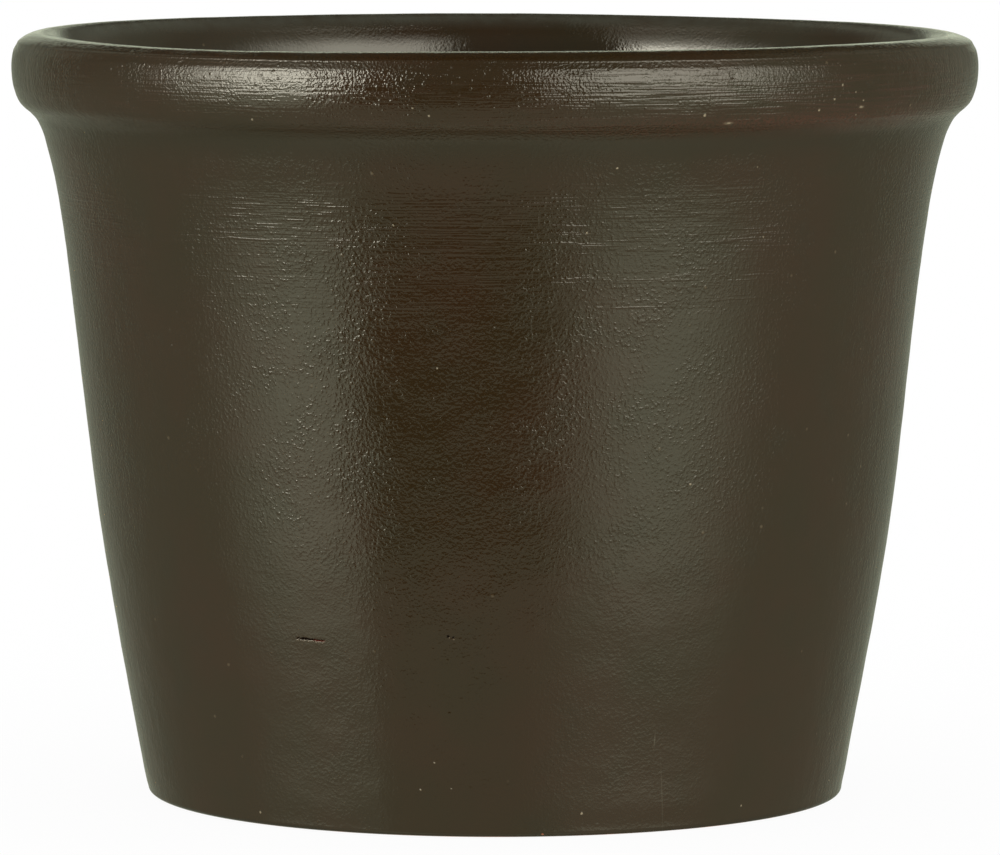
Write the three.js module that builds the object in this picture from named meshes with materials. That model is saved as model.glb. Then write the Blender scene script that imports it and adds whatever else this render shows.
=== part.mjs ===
// Glazed terracotta plant pot: one thrown and fired clay body with a rolled
// rim, a gently flaring wall, a flat foot and a drainage hole in the floor.
// Millimetres, +Z up. The origin is on the pot's axis, in the plane of the foot.
import * as THREE from "three";

// ---- sizes ---------------------------------------------------------------
const SEGMENTS = 72;          // facets round the pot

const RIM_RADIUS = 80.0;      // widest part of the rolled rim
const RIM_WIDEST_Z = 121.0;
const HEIGHT = 126.3;         // foot to the crest of the rim
const CREST_RADIUS = 74.6;

const FOOT_RADIUS = 57.8;     // wall at the foot
const FOOT_EDGE = 1.2;        // the foot's edge is wiped round

const FLOOR_THICKNESS = 8.0;
const FLOOR_FLAT_RADIUS = 43.0;
const HOLE_RADIUS = 8.0;      // drainage hole through the floor
const HOLE_EDGE = 0.8;        // softened edge of the hole

// ---- outside: heel of the foot up to the crest of the rim ------------------
// Radius and height of the outer skin. The wall flares at about ten degrees
// just above the foot, straightens towards the shoulder, and opens again into
// the hollow under the rolled rim.
const OUTSIDE = [
  [57.66, 0.7],
  [57.86, 1.2],
  [58.43, 4.0],
  [59.33, 9.0],
  [60.58, 15.7],
  [62.16, 24.1],
  [63.90, 34.1],
  [65.44, 44.2],
  [66.72, 54.2],
  [67.92, 64.3],
  [69.03, 74.2],
  [70.16, 84.2],
  [71.20, 92.6],
  [72.18, 99.2],
  [73.20, 104.2],
  [74.06, 107.5],
  [74.62, 109.5],
  [75.24, 111.0],
  [75.92, 112.2],
  [76.95, 113.3],
  [77.92, 114.1],
  [78.72, 115.0],
  [79.34, 116.4],
  [79.76, 117.9],
  [79.96, 119.5],
  [RIM_RADIUS, RIM_WIDEST_Z],
  [79.88, 122.3],
  [79.59, 123.6],
  [79.10, 124.45],
  [78.90, 124.86],
  [78.45, 125.25],
  [77.75, 125.65],
  [76.30, 126.15],
  [CREST_RADIUS, HEIGHT],
];

// ---- inside: crest of the rim down to the floor ----------------------------
// The lip turns over the folded clay and the wall below it keeps an even
// thickness of about six millimetres down to the rounded corner of the floor.
const INSIDE = [
  [73.35, 126.02],
  [72.35, 125.3],
  [71.40, 124.0],
  [70.60, 122.6],
  [69.98, 121.2],
  [69.68, 119.8],
  [69.20, 113.5],
  [68.70, 109.0],
  [67.60, 102.0],
  [66.10, 91.0],
  [64.20, 75.0],
  [62.00, 56.0],
  [59.60, 39.0],
  [57.30, 26.0],
  [55.70, 18.6],
  [54.30, 14.2],
  [52.10, 10.9],
  [49.40, 9.0],
  [46.40, 8.15],
  [FLOOR_FLAT_RADIUS, FLOOR_THICKNESS],
];

// ---- floor and foot ---------------------------------------------------------
const HOLE = [
  [HOLE_RADIUS + HOLE_EDGE, FLOOR_THICKNESS],
  [HOLE_RADIUS, FLOOR_THICKNESS - HOLE_EDGE],
  [HOLE_RADIUS, HOLE_EDGE],
  [HOLE_RADIUS + HOLE_EDGE, 0],
];

const FOOT = [
  [FOOT_RADIUS - FOOT_EDGE, 0],
  [FOOT_RADIUS - 0.55 * FOOT_EDGE, 0.12],
  [FOOT_RADIUS - 0.25 * FOOT_EDGE, 0.38],
];

// The ring of clay, cut in half: out along the foot, up the outside, over the
// rim, down the inside, across the floor and down through the hole.
const section = [...FOOT, ...OUTSIDE, ...INSIDE, ...HOLE].map(
  ([r, z]) => new THREE.Vector2(r, z),
);
section.push(section[0].clone());

const clay = new THREE.LatheGeometry(section, SEGMENTS);
clay.rotateX(Math.PI / 2);

const glaze = new THREE.MeshStandardMaterial({
  name: "glaze",
  color: 0x3a2a1b,            // dark treacle-brown glaze over red clay
  roughness: 0.18,
  metalness: 0.0,
});

const pot = new THREE.Mesh(clay, glaze);
pot.name = "pot";

const object = new THREE.Group();
object.name = "terracotta_pot";
object.add(pot);

export default object;
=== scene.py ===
"""Looks of the glazed terracotta pot: one thrown clay body under a dark brown glaze, on a pale studio floor."""

import math

import bpy
import numpy as np
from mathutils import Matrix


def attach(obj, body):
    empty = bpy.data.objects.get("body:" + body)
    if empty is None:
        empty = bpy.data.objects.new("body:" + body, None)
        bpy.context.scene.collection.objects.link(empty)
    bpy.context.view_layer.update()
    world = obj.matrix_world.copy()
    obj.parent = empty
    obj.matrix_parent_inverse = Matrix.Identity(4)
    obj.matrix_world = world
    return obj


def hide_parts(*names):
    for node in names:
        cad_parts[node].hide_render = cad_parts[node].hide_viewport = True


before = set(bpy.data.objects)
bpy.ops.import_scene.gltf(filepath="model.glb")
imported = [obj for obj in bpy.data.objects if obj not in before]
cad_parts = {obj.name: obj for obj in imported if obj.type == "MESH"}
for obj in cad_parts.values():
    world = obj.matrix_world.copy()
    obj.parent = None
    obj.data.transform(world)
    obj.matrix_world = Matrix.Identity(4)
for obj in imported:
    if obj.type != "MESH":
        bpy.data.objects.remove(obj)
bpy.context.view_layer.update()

MM = 0.001

# ---------------------------------------------------------------------------
# Camera: a long lens, a little over a metre away and just above the rim.
# ---------------------------------------------------------------------------
cam_data = bpy.data.cameras.new("camera")
cam = bpy.data.objects.new("camera", cam_data)
bpy.context.scene.collection.objects.link(cam)
cam_data.sensor_width = 36.0
cam_data.lens = 280.73
cam.location = (0.00083, -1.29087, 0.17933)
cam.rotation_euler = (math.radians(90.0 - 5.2606), 0.0, 0.0)
bpy.context.scene.camera = cam
bpy.context.scene.view_settings.view_transform = "Standard"
bpy.context.scene.view_settings.look = "None"

# ---------------------------------------------------------------------------
# The clay body's section, in millimetres: radius and height
# ---------------------------------------------------------------------------
OUTSIDE = [
    (57.80, 1.0), (58.00, 2.0), (58.43, 4.0), (59.33, 9.0), (60.58, 15.7),
    (62.16, 24.1), (63.90, 34.1), (65.44, 44.2), (66.72, 54.2), (67.92, 64.3),
    (69.03, 74.2), (70.16, 84.2), (71.20, 92.6), (72.18, 99.2), (73.20, 104.2),
    (74.06, 107.5), (74.62, 109.5), (75.24, 111.0), (75.92, 112.2),
    (76.95, 113.3), (77.92, 114.1), (78.72, 115.0), (79.34, 116.4),
    (79.76, 117.9), (79.96, 119.5), (80.0, 121.0), (79.88, 122.3),
    (79.67, 123.35), (79.59, 123.60), (79.34, 124.04), (79.10, 124.45),
    (79.00, 124.62), (78.945, 124.78), (78.90, 124.86), (78.45, 125.25),
    (77.75, 125.65), (76.30, 126.15), (74.60, 126.30),
]
INSIDE = [
    (73.35, 126.02), (72.45, 125.25), (71.85, 124.45), (71.38, 123.6),
    (70.96, 122.8), (70.60, 122.0), (70.33, 121.2), (70.12, 120.4),
    (69.98, 119.6), (69.75, 117.5),
    (69.35, 113.5), (68.70, 109.0), (67.60, 102.0),
    (66.10, 91.0), (64.20, 75.0), (62.00, 56.0), (59.60, 39.0), (57.30, 26.0),
    (55.70, 18.6), (54.30, 14.2), (52.10, 10.9), (49.40, 9.0), (46.40, 8.15),
    (43.0, 8.0),
]
SEGMENTS = 228


def spline(points, per=24):
    """A centripetal Catmull-Rom curve through points, as a dense polyline."""
    p = np.array(points, float)
    p = np.vstack([2 * p[0] - p[1], p, 2 * p[-1] - p[-2]])
    out = []
    for i in range(1, len(p) - 2):
        p0, p1, p2, p3 = p[i - 1 : i + 3]
        t0 = 0.0
        t1 = t0 + math.sqrt(np.linalg.norm(p1 - p0))
        t2 = t1 + math.sqrt(np.linalg.norm(p2 - p1))
        t3 = t2 + math.sqrt(np.linalg.norm(p3 - p2))
        t = np.linspace(t1, t2, per, endpoint=False)[:, None]
        a1 = (t1 - t) / (t1 - t0) * p0 + (t - t0) / (t1 - t0) * p1
        a2 = (t2 - t) / (t2 - t1) * p1 + (t - t1) / (t2 - t1) * p2
        a3 = (t3 - t) / (t3 - t2) * p2 + (t - t2) / (t3 - t2) * p3
        b1 = (t2 - t) / (t2 - t0) * a1 + (t - t0) / (t2 - t0) * a2
        b2 = (t3 - t) / (t3 - t1) * a2 + (t - t1) / (t3 - t1) * a3
        out.append((t2 - t) / (t2 - t1) * b1 + (t - t1) / (t2 - t1) * b2)
    out.append(p[-2][None, :])
    return np.vstack(out)


def resample(line, step):
    """Points along a polyline, step(point) apart."""
    seg = np.linalg.norm(np.diff(line, axis=0), axis=1)
    s = np.concatenate([[0.0], np.cumsum(seg)])
    where = [0.0]
    while where[-1] < s[-1]:
        k = where[-1]
        q = (np.interp(k, s, line[:, 0]), np.interp(k, s, line[:, 1]))
        where.append(k + step(q))
    where = np.array(where) * (s[-1] / where[-1])
    return np.column_stack(
        [np.interp(where, s, line[:, 0]), np.interp(where, s, line[:, 1])]
    )


def outside_step(q):
    z = q[1]
    if 124.4 < z < 125.05:
        return 0.07
    if z > 113.0:
        return 0.17
    if z > 108.0:
        return 0.34
    if z > 76.0:
        return 0.55
    return 1.0


def inside_step(q):
    z = q[1]
    if z > 123.0:
        return 0.35
    if z > 112.0:
        return 0.9
    return 1.9


outer = resample(spline(OUTSIDE), outside_step)
inner = resample(spline([OUTSIDE[-1]] + INSIDE), inside_step)[1:]
floor_in = np.column_stack([np.linspace(43.0, 8.9, 22)[1:], np.full(21, 8.0)])
a = np.linspace(0, math.pi / 2, 6)
hole_top = np.column_stack([8.8 - 0.8 * np.sin(a), 7.2 + 0.8 * np.cos(a)])
hole_wall = np.column_stack([np.full(7, 8.0), np.linspace(7.2, 0.8, 9)[1:-1]])
hole_low = np.column_stack([8.8 - 0.8 * np.cos(a), 0.8 - 0.8 * np.sin(a)])
foot = np.column_stack([np.linspace(8.8, 56.0, 26)[1:], np.zeros(25)])
HEEL = 9  # rows of the heel, set for each side of the pot below

rows = np.vstack([outer, inner, floor_in, hole_top, hole_wall, hole_low, foot])
n_outer = len(outer)

# ---------------------------------------------------------------------------
# What the hand and the wheel left in the clay: seeded noise that closes on
# itself round the pot, throwing rings, and a rim that isn't quite true.
# ---------------------------------------------------------------------------
rng = np.random.RandomState(4171)
theta = np.arange(SEGMENTS) * (2 * math.pi / SEGMENTS)  # 0 faces -Y, grows to +X


def ring_noise(zz, wave_z, wave_t, radius, count, seed):
    """Smooth noise over (height, angle): a sum of waves, whole numbers of them round the pot."""
    r = np.random.RandomState(seed)
    out = np.zeros((len(zz), SEGMENTS))
    top = max(1.0, 2 * math.pi * radius / wave_t)
    for _ in range(count):
        k = int(round(r.uniform(0.0, 1.6) * top * r.choice([-1, 1])))
        f = r.uniform(0.3, 1.5) / wave_z
        out += np.cos(
            2 * math.pi * f * zz[:, None]
            + k * theta[None, :]
            + r.uniform(0, 2 * math.pi)
        )
    return out / math.sqrt(count / 2.0)


def smooth(a_, b_, x):
    t = np.clip((x - a_) / (b_ - a_), 0.0, 1.0)
    return t * t * (3 - 2 * t)


R = rows[:, 0]
Z = rows[:, 1]
seg = np.linalg.norm(np.diff(rows, axis=0), axis=1)
S = np.concatenate([[0.0], np.cumsum(seg)])  # distance along the section

# outward normal of the section
tangent = np.gradient(rows, axis=0)
tangent /= np.linalg.norm(tangent, axis=1)[:, None]
normal = np.column_stack([tangent[:, 1], -tangent[:, 0]])

is_out = np.arange(len(rows)) < n_outer
on_rim = is_out * smooth(111.5, 114.0, Z)
on_band = is_out * smooth(74.0, 84.0, Z) * (1 - smooth(104.0, 112.0, Z))
on_wall = np.where(Z > 1.0, 1.0, 0.0) * np.where(R > 12.0, 1.0, 0.0)

offset = np.zeros((len(rows), SEGMENTS))
# slow swelling of the hand-turned wall
offset += 0.050 * on_wall[:, None] * ring_noise(S, 60.0, 110.0, 65.0, 14, 11)
# the wet glaze's lazy waves
offset += 0.011 * on_wall[:, None] * ring_noise(S, 11.0, 16.0, 65.0, 60, 12)
offset += 0.0035 * on_wall[:, None] * ring_noise(S, 4.0, 6.0, 65.0, 90, 13)
# throwing rings: fine and regular on the rim, fainter on the upper wall
def rings(lo, hi, count, seed):
    """Turned rings: waves along the section, each waxing and waning as it goes round."""
    r = np.random.RandomState(seed)
    out = np.zeros((len(rows), SEGMENTS))
    for _ in range(count):
        wave = np.cos(2 * math.pi * S / r.uniform(lo, hi) + r.uniform(0, 6.28))
        swell = 1 + 0.8 * np.cos(theta * r.randint(1, 9) + r.uniform(0, 6.28))
        out += wave[:, None] * swell[None, :]
    return out / math.sqrt(count / 2.0)


offset += (0.0030 * on_rim + 0.0032 * on_band)[:, None] * rings(1.4, 4.2, 24, 14)
offset += (0.0026 * on_rim)[:, None] * rings(0.55, 0.85, 24, 15)
inside_wall = (~is_out) * on_wall * smooth(9.0, 14.0, Z)
ring_in = np.cos(2 * math.pi * S / 7.3 + 0.6 * np.sin(S / 23.0))
offset += 0.030 * (inside_wall * ring_in)[:, None] * np.ones(SEGMENTS)[None, :]

rr = R[:, None] + offset * normal[:, :1]
zz = Z[:, None] + offset * normal[:, 1:]

# the heel: wiped rounder on the left than on the right
left = 0.5 - 0.5 * np.sin(theta)
heel_r = 0.9 + 0.9 * left
u = np.linspace(0, 1, HEEL + 2)[1:-1]
end_r, end_z = 57.80, 1.0
heel_rr = np.zeros((HEEL, SEGMENTS))
heel_zz = np.zeros((HEEL, SEGMENTS))
for i, t in enumerate(u):
    # a quarter curve from the foot plane up into the wall
    ang = t * math.pi / 2
    heel_rr[i] = (end_r - heel_r) + heel_r * math.sin(ang) ** 0.9
    heel_zz[i] = 1.0 * (1 - math.cos(ang)) ** 1.0
rr = np.vstack([rr, heel_rr])
zz = np.vstack([zz, heel_zz])
flat = len(rows) - 25
for i in range(25):
    t = (i + 1) / 25.0
    rr[flat + i] = 8.8 + (end_r - heel_r - 8.8) * t

# the rim waves a third of a millimetre up and down, sits a hair to the right
# of the foot, and is very slightly out of round
lift = smooth(60.0, 126.0, zz) * 0.15 + smooth(124.9, 126.0, zz) * 0.85
wave = [(0.111, 1, 2.46), (0.179, 2, -1.51), (0.066, 3, -1.61), (0.028, 4, 0.22)]
zz = zz + lift * (-0.048 + sum(a_ * np.cos(n_ * theta + p_) for a_, n_, p_ in wave))[None, :]
lift = smooth(60.0, 126.0, zz)
out_of_round = lift * (0.08 * np.cos(2 * theta + 0.9) + 0.05 * np.cos(3 * theta - 0.5))[None, :]
rr = np.maximum(rr + out_of_round * (rr > 20), 7.6)
zz = np.maximum(zz, 0.0)
shift_x = 0.16 * smooth(106.0, 114.0, zz) - 0.08 * smooth(20.0, 80.0, zz)

x = rr * np.sin(theta)[None, :] + shift_x
y = -rr * np.cos(theta)[None, :]
n_rows = rr.shape[0]
verts = np.stack([x, y, zz], axis=-1).reshape(-1, 3) * MM

ii, jj = np.meshgrid(np.arange(n_rows), np.arange(SEGMENTS), indexing="ij")
i2, j2 = (ii + 1) % n_rows, (jj + 1) % SEGMENTS
quads = np.stack(
    [ii * SEGMENTS + jj, ii * SEGMENTS + j2, i2 * SEGMENTS + j2, i2 * SEGMENTS + jj],
    axis=-1,
).reshape(-1, 4)
mesh = bpy.data.meshes.new("pot_clay")
mesh.from_pydata(verts.tolist(), [], quads.tolist())
mesh.validate()
mesh.polygons.foreach_set("use_smooth", [True] * len(mesh.polygons))
mesh.update()
pot = bpy.data.objects.new("pot_clay", mesh)
bpy.context.scene.collection.objects.link(pot)


# ---------------------------------------------------------------------------
# Small helpers for writing node trees as sums
# ---------------------------------------------------------------------------
class V:
    """A value in a node tree."""

    def __init__(self, tree, socket):
        self.t, self.s = tree, socket

    def _m(self, op, *others):
        n = self.t.nodes.new("ShaderNodeMath")
        n.operation = op
        self.t.links.new(self.s, n.inputs[0])
        for i, o in enumerate(others):
            if isinstance(o, V):
                self.t.links.new(o.s, n.inputs[i + 1])
            else:
                n.inputs[i + 1].default_value = float(o)
        return V(self.t, n.outputs[0])

    def __add__(self, o):
        return self._m("ADD", o)

    __radd__ = __add__

    def __sub__(self, o):
        return self._m("SUBTRACT", o)

    def __rsub__(self, o):
        return self._m("MULTIPLY_ADD", -1.0, o)

    def __mul__(self, o):
        return self._m("MULTIPLY", o)

    __rmul__ = __mul__

    def __truediv__(self, o):
        return self._m("DIVIDE", o)

    def max(self, o):
        return self._m("MAXIMUM", o)

    def min(self, o):
        return self._m("MINIMUM", o)

    def pow(self, o):
        return self._m("POWER", o)

    def abs(self):
        return self._m("ABSOLUTE")

    def sqrt(self):
        return self._m("SQRT")

    def exp(self):
        return self._m("EXPONENT")

    def step(self, lo, hi):
        """0 below lo, 1 above hi, smooth between."""
        n = self.t.nodes.new("ShaderNodeMapRange")
        n.interpolation_type = "SMOOTHSTEP"
        self.t.links.new(self.s, n.inputs["Value"])
        n.inputs["From Min"].default_value = lo
        n.inputs["From Max"].default_value = hi
        return V(self.t, n.outputs["Result"])

    def bell(self, mid, width):
        """1 at mid, falling away over width."""
        d = (self - mid) / width
        return ((d * d) * -1.0).exp()


def combine(t, a_, b_, c_):
    n = t.nodes.new("ShaderNodeCombineXYZ")
    for i, v in enumerate((a_, b_, c_)):
        if isinstance(v, V):
            t.links.new(v.s, n.inputs[i])
        else:
            n.inputs[i].default_value = float(v)
    return V(t, n.outputs[0])


def noise(t, vec, scale, detail=2.0, rough=0.5, w=None, what="Fac"):
    n = t.nodes.new("ShaderNodeTexNoise")
    n.noise_dimensions = "4D" if w is not None else "3D"
    t.links.new(vec.s, n.inputs["Vector"])
    if w is not None:
        t.links.new(w.s, n.inputs["W"])
    n.inputs["Scale"].default_value = scale
    n.inputs["Detail"].default_value = detail
    n.inputs["Roughness"].default_value = rough
    return V(t, n.outputs[what])


def cells(t, vec, scale):
    """Distance to the nearest of scattered points, and that point's own random number."""
    n = t.nodes.new("ShaderNodeTexVoronoi")
    n.voronoi_dimensions = "3D"
    n.feature = "F1"
    t.links.new(vec.s, n.inputs["Vector"])
    n.inputs["Scale"].default_value = scale
    s = t.nodes.new("ShaderNodeSeparateColor")
    t.links.new(n.outputs["Color"], s.inputs[0])
    return V(t, n.outputs["Distance"]), V(t, s.outputs[0]), V(t, s.outputs[1])


def mix_rgb(t, fac, a_, b_):
    n = t.nodes.new("ShaderNodeMix")
    n.data_type = "RGBA"
    t.links.new(fac.s, n.inputs[0])
    for i, c in ((6, a_), (7, b_)):
        if isinstance(c, V):
            t.links.new(c.s, n.inputs[i])
        else:
            n.inputs[i].default_value = (*c, 1.0)
    return V(t, n.outputs[2])


# ---------------------------------------------------------------------------
# The glaze
# ---------------------------------------------------------------------------
mat = bpy.data.materials.new("brown_glaze")
mat.use_nodes = True
t = mat.node_tree
t.nodes.clear()
out = t.nodes.new("ShaderNodeOutputMaterial")
bsdf = t.nodes.new("ShaderNodeBsdfPrincipled")
t.links.new(bsdf.outputs[0], out.inputs[0])
bsdf.inputs["IOR"].default_value = 1.5

coord = t.nodes.new("ShaderNodeTexCoord")
scale_mm = t.nodes.new("ShaderNodeVectorMath")
scale_mm.operation = "SCALE"
scale_mm.inputs["Scale"].default_value = 1000.0
t.links.new(coord.outputs["Object"], scale_mm.inputs[0])
P = V(t, scale_mm.outputs[0])  # millimetres
sep = t.nodes.new("ShaderNodeSeparateXYZ")
t.links.new(P.s, sep.inputs[0])
X, Y, Zm = (V(t, sep.outputs[i]) for i in range(3))
RR = ((X * X) + (Y * Y)).sqrt()
az = X._m("ARCTAN2", Y * -1.0) * (180.0 / math.pi)  # 0 at -Y, + towards +X
cos_a = (Y * -1.0) / RR
sin_a = X / RR

outer_face = (RR - (Zm * 0.118 + 57.0)).step(-0.5, 0.5)  # 1 on the outside of the wall
rim = outer_face * Zm.step(111.5, 114.5)
top = Zm.step(122.5, 124.5)  # the turned-over lip, both sides
rim_all = rim.max(top)
band = Zm.step(72.0, 92.0) * (1.0 - Zm.step(106.0, 112.0))
low = 1.0 - Zm.step(30.0, 62.0)

patch = noise(t, P, 0.045, 3.0, 0.55)  # 20 mm clouds
patch2 = noise(t, P, 0.13, 3.0, 0.55)  # 8 mm clouds


def lines(per_mm, per_turn, detail, seed):
    """Fine horizontal marks of a rib on the turning clay: short waves up the wall, long round it."""
    v = combine(t, Zm * per_mm + seed, RR * per_mm, sin_a * per_turn)
    return noise(t, v, 1.0, detail, 0.55, w=cos_a * per_turn)


comb_fine = lines(2.7, 9.0, 1.0, 3.0)
comb_wide = lines(0.62, 3.0, 1.0, 17.0)
grain = noise(t, P, 1.85, 1.5, 0.5)  # orange peel
grain_rim = noise(t, P, 2.3, 1.0, 0.5)
grain_fine = noise(t, P, 4.0, 0.5, 0.5)
grain_soft = noise(t, P, 0.42, 1.5, 0.4)
streak = noise(t, combine(t, X * 0.62, Y * 0.62, Zm * 0.20), 1.0, 1.0, 0.5)  # where the glaze ran

# pimples and pinholes
d1, c1, c1b = cells(t, P, 0.42)
pimple = (1.0 - d1.step(0.02, 0.17)) * c1.step(0.82, 0.87)
d2, c2, c2b = cells(t, P, 1.1)
sparkle = (1.0 - d2.step(0.05, 0.38)) * c2.step(0.66, 0.76)
glint = (1.0 - d2.step(0.05, 0.34)) * c2b.step(0.90, 0.94)
pock = (1.0 - d2.step(0.04, 0.30)) * (1.0 - c2.step(0.10, 0.16))

# marks in known places: angle round the pot, height, radius in mm
CREAM = [
    (-11.5, 7.8, 0.24), (-6.7, 8.1, 0.20), (13.7, 3.8, 0.30), (43.0, 3.1, 0.26),
    (69.9, 4.1, 0.24), (-40.7, 2.2, 0.30), (-9.2, 12.3, 0.26), (-12.7, 98.8, 0.26),
    (24.5, 116.1, 0.38), (47.2, 117.6, 0.26), (43.5, 120.2, 0.30),
    (42.3, 118.0, 0.26), (40.2, 116.4, 0.34), (45.7, 119.0, 0.24),
    (11.6, 97.6, 0.24), (34.1, 107.4, 0.22), (15.0, 107.8, 0.26),
    (-28.8, 115.3, 0.26), (-7.4, 116.4, 0.28), (-9.2, 117.6, 0.24),
    (-7.5, 76.1, 0.20), (27.6, 56.9, 0.28), (36.5, 96.1, 0.26), (46.5, 115.3, 0.22),
]
R_AT = spline(OUTSIDE)


def wall_radius(z):
    i_ = int(np.argmin(np.abs(R_AT[: -24 * 4, 1] - z)))
    return float(R_AT[i_, 0])


def place(angle, z):
    a_ = math.radians(angle)
    q = wall_radius(z)
    return (q * math.sin(a_), -q * math.cos(a_), z)


def spot(angle, z, radius):
    """1 in a round mark of that radius at that place."""
    n = t.nodes.new("ShaderNodeVectorMath")
    n.operation = "DISTANCE"
    t.links.new(P.s, n.inputs[0])
    n.inputs[1].default_value = place(angle, z)
    return 1.0 - (V(t, n.outputs["Value"]) + (grain_fine - 0.5) * 0.22).step(radius * 0.25, radius * 0.95)


def total(parts):
    s_ = parts[0]
    for q in parts[1:]:
        s_ = s_ + q
    return s_


cream = total([spot(*c) for c in CREAM])
cream_dash = (
    az.bell(27.8, 0.42) * Zm.bell(114.75, 0.16) * outer_face
    + az.bell(47.1, 0.34) * Zm.bell(116.55, 0.16) * outer_face
)
cream = (cream + cream_dash).min(1.0)
chip = spot(7.6, 0.45, 0.34)  # bare clay showing at the heel

# a short scratch through the glaze, dark above (painted shade in its groove) and burred below
z_scratch = Zm + (az + 27.6) * 0.030 + (grain - 0.5) * 0.55
along = (1.0 - (az + 27.6).abs().step(2.0, 2.6)) * outer_face
scratch = (1.0 - (z_scratch - 31.75).abs().step(0.06, 0.30)) * along * grain_rim.step(0.30, 0.44)
burr = (1.0 - (z_scratch - 31.42).abs().step(0.04, 0.18)) * along * grain_fine.step(0.38, 0.58)
pit = (spot(-6.65, 33.05, 0.36) + spot(-5.95, 32.85, 0.34)).min(1.0)
pit_lip = (spot(-6.5, 32.80, 0.20) + spot(-5.85, 32.55, 0.22)).min(1.0)
hair = (
    (az - 25.0).bell(0.0, 0.10) * Zm.bell(15.3, 1.0)
    + ((az - 27.1) - (Zm - 6.0) * -0.13).bell(0.0, 0.09) * Zm.bell(6.3, 5.0) * patch2
) * outer_face
# nicks where the lip was knocked when the clay was soft
nick = spot(-42.0, 125.2, 0.7) + spot(-38.6, 123.9, 0.8) + spot(26.2, 123.9, 0.9) + spot(27.9, 122.4, 1.0)

# heights in millimetres
comb_on = rim * (1.0 - Zm.step(123.1, 123.9))
comb_band = outer_face * (
    Zm.step(92.0, 95.5) * (1.0 - Zm.step(102.0, 106.5)) + 0.8 * Zm.bell(90.2, 1.7) + 0.45 * Zm.bell(86.0, 1.5)
) * (0.62 + 0.45 * patch.step(0.36, 0.60))
comb_ridge = comb_fine.step(0.56, 0.74)  # the sharp burr a rib leaves between two of its lines
wrinkle = grain.step(0.50, 0.72)  # peel gathered into small sharp folds
folds = (0.45 + 0.55 * patch2.step(0.34, 0.66)) * outer_face * (1.0 - rim_all) * (1.0 - 0.7 * low)
rightward = az.step(-8.0, 12.0)  # the comb shows clearest right of the middle, the grain left of it
relief = (
    (comb_fine - 0.5)
    * (comb_on * (0.058 + 0.072 * rightward) * (1.0 + 0.8 * Zm.bell(119.3, 1.6)) + 0.105 * comb_band + 0.003)
    + comb_ridge * (0.022 * comb_band + 0.012 * comb_on)
    + wrinkle * folds * 0.020
    + (comb_wide - 0.5) * (0.018 * rim_all + 0.010 * band)
    + (grain - 0.5) * (0.060 - 0.034 * low - 0.030 * rim_all) * (0.55 + 0.75 * patch2.step(0.34, 0.66))
    + (grain_rim - 0.5)
    * (rim_all * (0.050 + 0.030 * az.bell(-16.5, 7.0) + 0.014 * az.bell(12.0, 8.0)) + 0.012)
    * (0.45 + 1.0 * patch2.step(0.34, 0.62))
    + (grain_fine - 0.5) * (0.008 + 0.014 * rim_all)
    + (grain_soft - 0.5) * (0.024 + 0.012 * low)
    + (grain_rim - 0.5) * 0.090 * outer_face * Zm.bell(113.6, 1.9)
    + (streak - 0.5) * (0.055 + 0.030 * rim_all) * (az.abs() - 38.0).step(0.0, 22.0)
    + (grain_rim - 0.5) * 0.045 * (az.abs() - 48.0).step(0.0, 18.0)
    + pimple * 0.035
    + sparkle * (0.034 * rim_all + 0.013 * (1.0 - low))
    + glint * 0.026 * (1.0 - low)
    - pock * (0.044 * rim_all + 0.004)
    + cream * 0.05
    + burr * 0.02
    + pit_lip * 0.02
    - scratch * 0.03
    - pit * 0.02
    + hair * 0.012
    - nick * 0.05 * (grain_soft * 2.0)
)
within = (1.0 - outer_face).max(Zm.step(119.0, 121.0) * (1.0 - RR.step(72.6, 74.6)))
height = relief * (1.0 - 0.62 * within)  # the glaze lay down smoother inside
bump = t.nodes.new("ShaderNodeBump")
bump.inputs["Strength"].default_value = 1.0
bump.inputs["Distance"].default_value = MM
t.links.new(height.s, bump.inputs["Height"])
t.links.new(bump.outputs[0], bsdf.inputs["Normal"])

# colour: treacle brown, olive where thick, red where it breaks over an edge, and painted shade in the hollow
# under the rim
base = mix_rgb(t, patch.step(0.32, 0.68), (0.0262, 0.0140, 0.0030), (0.0315, 0.0132, 0.0032))
base = mix_rgb(t, patch2.step(0.45, 0.85) * 0.5, base, (0.0220, 0.0140, 0.0040))
# painted shade: the band under the rim's overhang is painted darker and greener, as the shade the rim casts
# there
base = mix_rgb(t, Zm.bell(112.0, 3.0) * outer_face * 0.6, base, (0.0190, 0.0140, 0.0042))
under = Zm.bell(114.5, 1.7) * outer_face
side = az.bell(42.0, 32.0) * 0.95 + az.bell(165.0, 30.0) * 0.5 + az.bell(-115.0, 22.0) * 0.6
red = under * side * (comb_wide * 0.9 + patch2 * 0.9 - 0.25).min(1.0)
base = mix_rgb(t, (red * (0.25 + 0.75 * grain_rim.step(0.38, 0.60))).min(1.0), base, (0.072, 0.0200, 0.0080))
thin = Zm.bell(118.0, 5.0) * outer_face * az.bell(52.0, 22.0) * comb_fine.step(0.40, 0.75)
base = mix_rgb(t, (thin * 0.55).min(1.0), base, (0.060, 0.0190, 0.0100))
# comb lines: glaze a touch thinner on each crest
base = mix_rgb(t, (comb_fine.step(0.50, 0.80) * (rim * 0.30 + band * 0.16)), base, (0.050, 0.0210, 0.0105))
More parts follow.
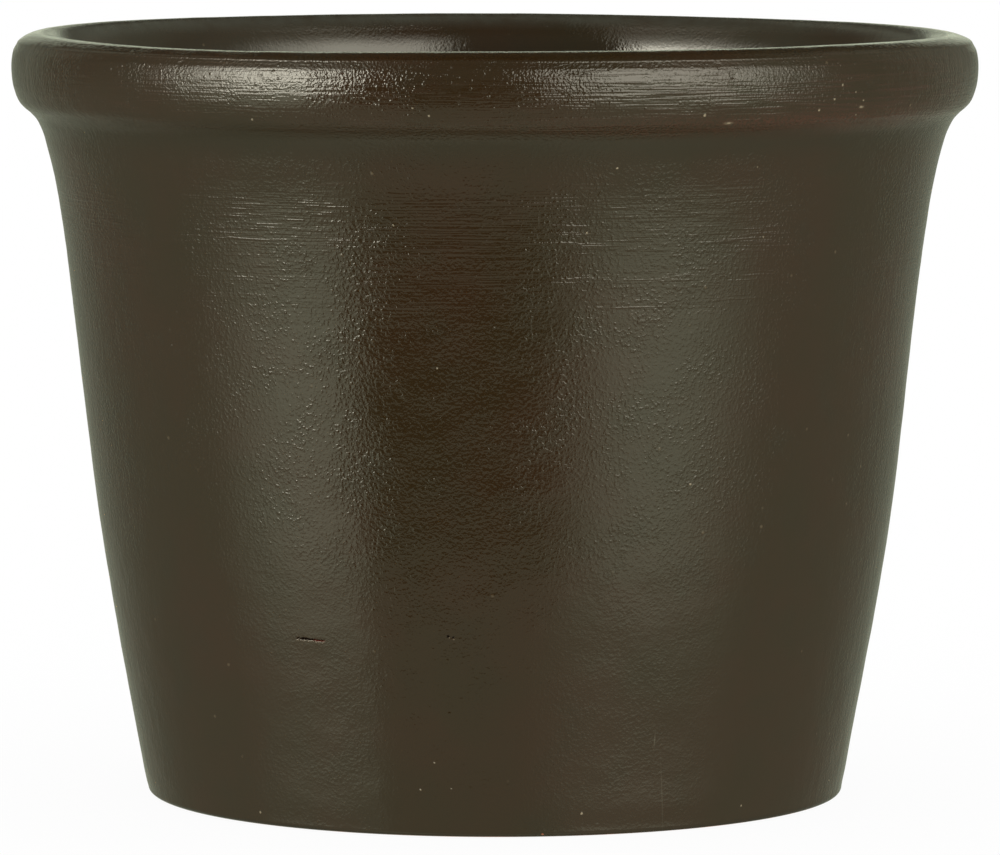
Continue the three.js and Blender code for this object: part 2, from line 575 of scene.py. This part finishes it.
# glaze wiped thin and dry over the inner lip; its pale, streaky grey-green is partly that dry glaze and partly
# a painted satin sheen
lip = Zm.step(123.4, 126.1) * (1.0 - RR.step(74.2, 75.4))
base = mix_rgb(t, (lip * (0.55 + 0.9 * (grain_soft - 0.3))).min(1.0), base, (0.060, 0.057, 0.040))
base = mix_rgb(t, (pimple * c1b.step(0.60, 0.80)) * 0.4, base, (0.20, 0.15, 0.085))
base = mix_rgb(t, cream * (0.45 + 0.55 * grain_rim.step(0.35, 0.65)), base, (0.36, 0.29, 0.175))
# painted shade: the scratch's groove and the two pits are painted near black, as the shade inside them
base = mix_rgb(t, scratch.max(pit), base, (0.004, 0.002, 0.001))
raw = (scratch * (az + 27.0).step(-0.4, 0.5)) * (1.0 - (z_scratch - 31.70).step(-0.04, 0.12)) * 0.9
base = mix_rgb(t, raw, base, (0.11, 0.018, 0.008))
base = mix_rgb(t, burr.max(pit_lip) * 0.7, base, (0.16, 0.12, 0.075))
base = mix_rgb(t, (hair * 0.6).min(1.0), base, (0.12, 0.10, 0.065))
base = mix_rgb(t, chip, base, (0.55, 0.16, 0.07))

# bare clay under the foot and down the lower part of the hole
clay_noise = noise(t, P, 0.9, 4.0, 0.6)
in_hole = 1.0 - RR.step(8.9, 9.6)
bare = (1.0 - (Zm + (patch2 - 0.5) * 0.3).step(0.02, 0.16)).max(
    in_hole * (1.0 - (Zm + (patch2 - 0.5) * 6.0).step(3.0, 5.0))
)
clay = mix_rgb(t, clay_noise.step(0.3, 0.7), (0.36, 0.135, 0.060), (0.47, 0.20, 0.095))
base = mix_rgb(t, bare, base, clay)
t.links.new(base.s, bsdf.inputs["Base Color"])

gloss = 0.05 + patch2 * 0.05 + lip * 0.12 + cream * 0.3 + scratch.max(pit) * 0.75
rough = (gloss * (1.0 - bare)) + bare * 0.85
t.links.new(rough.s, bsdf.inputs["Roughness"])
# no light comes back out of the crack
t.links.new((0.5 - scratch.max(pit) * 0.48).s, bsdf.inputs["Specular IOR Level"])

mesh.materials.append(mat)
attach(pot, "root")
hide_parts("pot")

# ---------------------------------------------------------------------------
# Pale floor
# ---------------------------------------------------------------------------
fm = bpy.data.meshes.new("floor")
n_f = 96
ring_v = [
    (8.0 * math.cos(2 * math.pi * i / n_f), 8.0 * math.sin(2 * math.pi * i / n_f), 0.0)
    for i in range(n_f)
]
fm.from_pydata(ring_v, [], [list(range(n_f))])
fm.update()
floor = bpy.data.objects.new("floor", fm)
bpy.context.scene.collection.objects.link(floor)
floor.visible_glossy = False
PALE = 1.0
FLOOR_SHARE = 0.06  # how much of the floor's brightness the pot can shade
SKY = 0.85
floor_mat = bpy.data.materials.new("pale_floor")
floor_mat.use_nodes = True
ft = floor_mat.node_tree
ft.nodes.clear()
fo = ft.nodes.new("ShaderNodeOutputMaterial")
add = ft.nodes.new("ShaderNodeAddShader")
dif = ft.nodes.new("ShaderNodeBsdfDiffuse")
emi = ft.nodes.new("ShaderNodeEmission")
dif.inputs["Color"].default_value = (FLOOR_SHARE / SKY,) * 3 + (1.0,)
emi.inputs["Color"].default_value = (1.0, 1.0, 1.0, 1.0)
emi.inputs["Strength"].default_value = PALE - FLOOR_SHARE
ft.links.new(dif.outputs[0], add.inputs[0])
ft.links.new(emi.outputs[0], add.inputs[1])
ft.links.new(add.outputs[0], fo.inputs[0])
fm.materials.append(floor_mat)

# ---------------------------------------------------------------------------
# Studio: two large soft boxes in front, left and right, a white table that
# catches their light, a white backdrop, and a dark room behind the camera.
# ---------------------------------------------------------------------------
world = bpy.data.worlds.new("studio")
bpy.context.scene.world = world
world.use_nodes = True
wt = world.node_tree
wt.nodes.clear()
wo = wt.nodes.new("ShaderNodeOutputWorld")
bg = wt.nodes.new("ShaderNodeBackground")
wt.links.new(bg.outputs[0], wo.inputs[0])
wc = wt.nodes.new("ShaderNodeTexCoord")
ws = wt.nodes.new("ShaderNodeSeparateXYZ")
wt.links.new(wc.outputs["Generated"], ws.inputs[0])
wx, wy, wz = (V(wt, ws.outputs[i]) for i in range(3))
deg = 180.0 / math.pi
A = wx._m("ARCTAN2", wy * -1.0) * deg
E = wz._m("ARCSINE") * deg
AA = A.abs()

left_box = A.step(-92.0, -52.0) * (1.0 - A.step(-44.0, -33.0))
right_box = A.step(8.0, 24.0) * (1.0 - A.step(42.0, 88.0))
boxes = left_box * (10.4 + 2.4 * A.bell(-45.0, 12.0)) * E.step(-4.0, 5.0) * ((E - 20.0).max(0.0) * -0.1).exp()
boxes = boxes + right_box * (5.1 + 0.7 * E.bell(4.0, 7.0)) * E.step(-5.5, 8.0) * (1.0 - E.step(20.0, 56.0))

left_glow = A.step(-90.0, -53.0) * (1.0 - A.step(-43.0, -35.0))
right_glow = A.step(8.0, 38.0) * (1.0 - A.step(40.0, 86.0))
on_table = (1.0 - E.step(-2.0, 11.0)) * (
    0.16 - E.step(-75.0, -45.0) * 0.05 + E.step(-29.5, -14.5) * 1.07
)
glow = (left_glow * 1.12 + right_glow * 1.16) * on_table

room = (1.0 - AA.step(28.0, 60.0)) * E.step(-21.2, -18.2)
dark = 1.0 - room * 0.98
up_there = E.step(-8.0, 2.0)
ambient = (0.28 - 0.11 * up_there) * (1.0 - 0.75 * room * (1.0 - up_there))
ambient = ambient + (0.27 + 0.11 * up_there) * (1.0 - AA.step(76.0, 136.0)) * dark
ambient = ambient * (1.0 - 0.35 * E.step(42.0, 62.0)) * (1.0 - 0.75 * AA.step(150.0, 170.0) * E.step(8.0, 18.0))
ambient = ambient + (1.0 - AA.step(28.0, 60.0)) * (0.02 + 0.07 * up_there)
side_left = A.step(-164.0, -150.0) * (1.0 - A.step(-140.0, -124.0)) * 0.14
side_right = A.step(106.0, 120.0) * (1.0 - A.step(142.0, 160.0)) * 0.14
ambient = ambient + (side_left + side_right) * (1.0 - E.step(40.0, 60.0)) * up_there
backdrop = AA.step(165.0, 176.0) * (
    0.62 * (1.0 - E.step(6.0, 18.0)) * E.step(-2.0, 0.5) + 0.10 * (1.0 - E.step(-2.0, 0.5))
)


def tint(value, colour):
    n = wt.nodes.new("ShaderNodeVectorMath")
    n.operation = "SCALE"
    n.inputs[0].default_value = colour
    wt.links.new(value.s, n.inputs["Scale"])
    return V(wt, n.outputs[0])


def add_up(a_, b_):
    n = wt.nodes.new("ShaderNodeVectorMath")
    n.operation = "ADD"
    wt.links.new(a_.s, n.inputs[0])
    wt.links.new(b_.s, n.inputs[1])
    return V(wt, n.outputs[0])


studio = add_up(
    tint(boxes, (1.0, 0.965, 0.81)),
    tint(glow + ambient + backdrop, (0.97, 1.05, 0.80)),
)

lp = wt.nodes.new("ShaderNodeLightPath")
is_cam = V(wt, lp.outputs["Is Camera Ray"])
is_gloss = V(wt, lp.outputs["Is Glossy Ray"])
seen = mix_rgb(wt, is_gloss, (SKY,) * 3, studio)
seen = mix_rgb(wt, is_cam, seen, (PALE,) * 3)
wt.links.new(seen.s, bg.inputs["Color"])
world.cycles.sampling_method = "NONE"
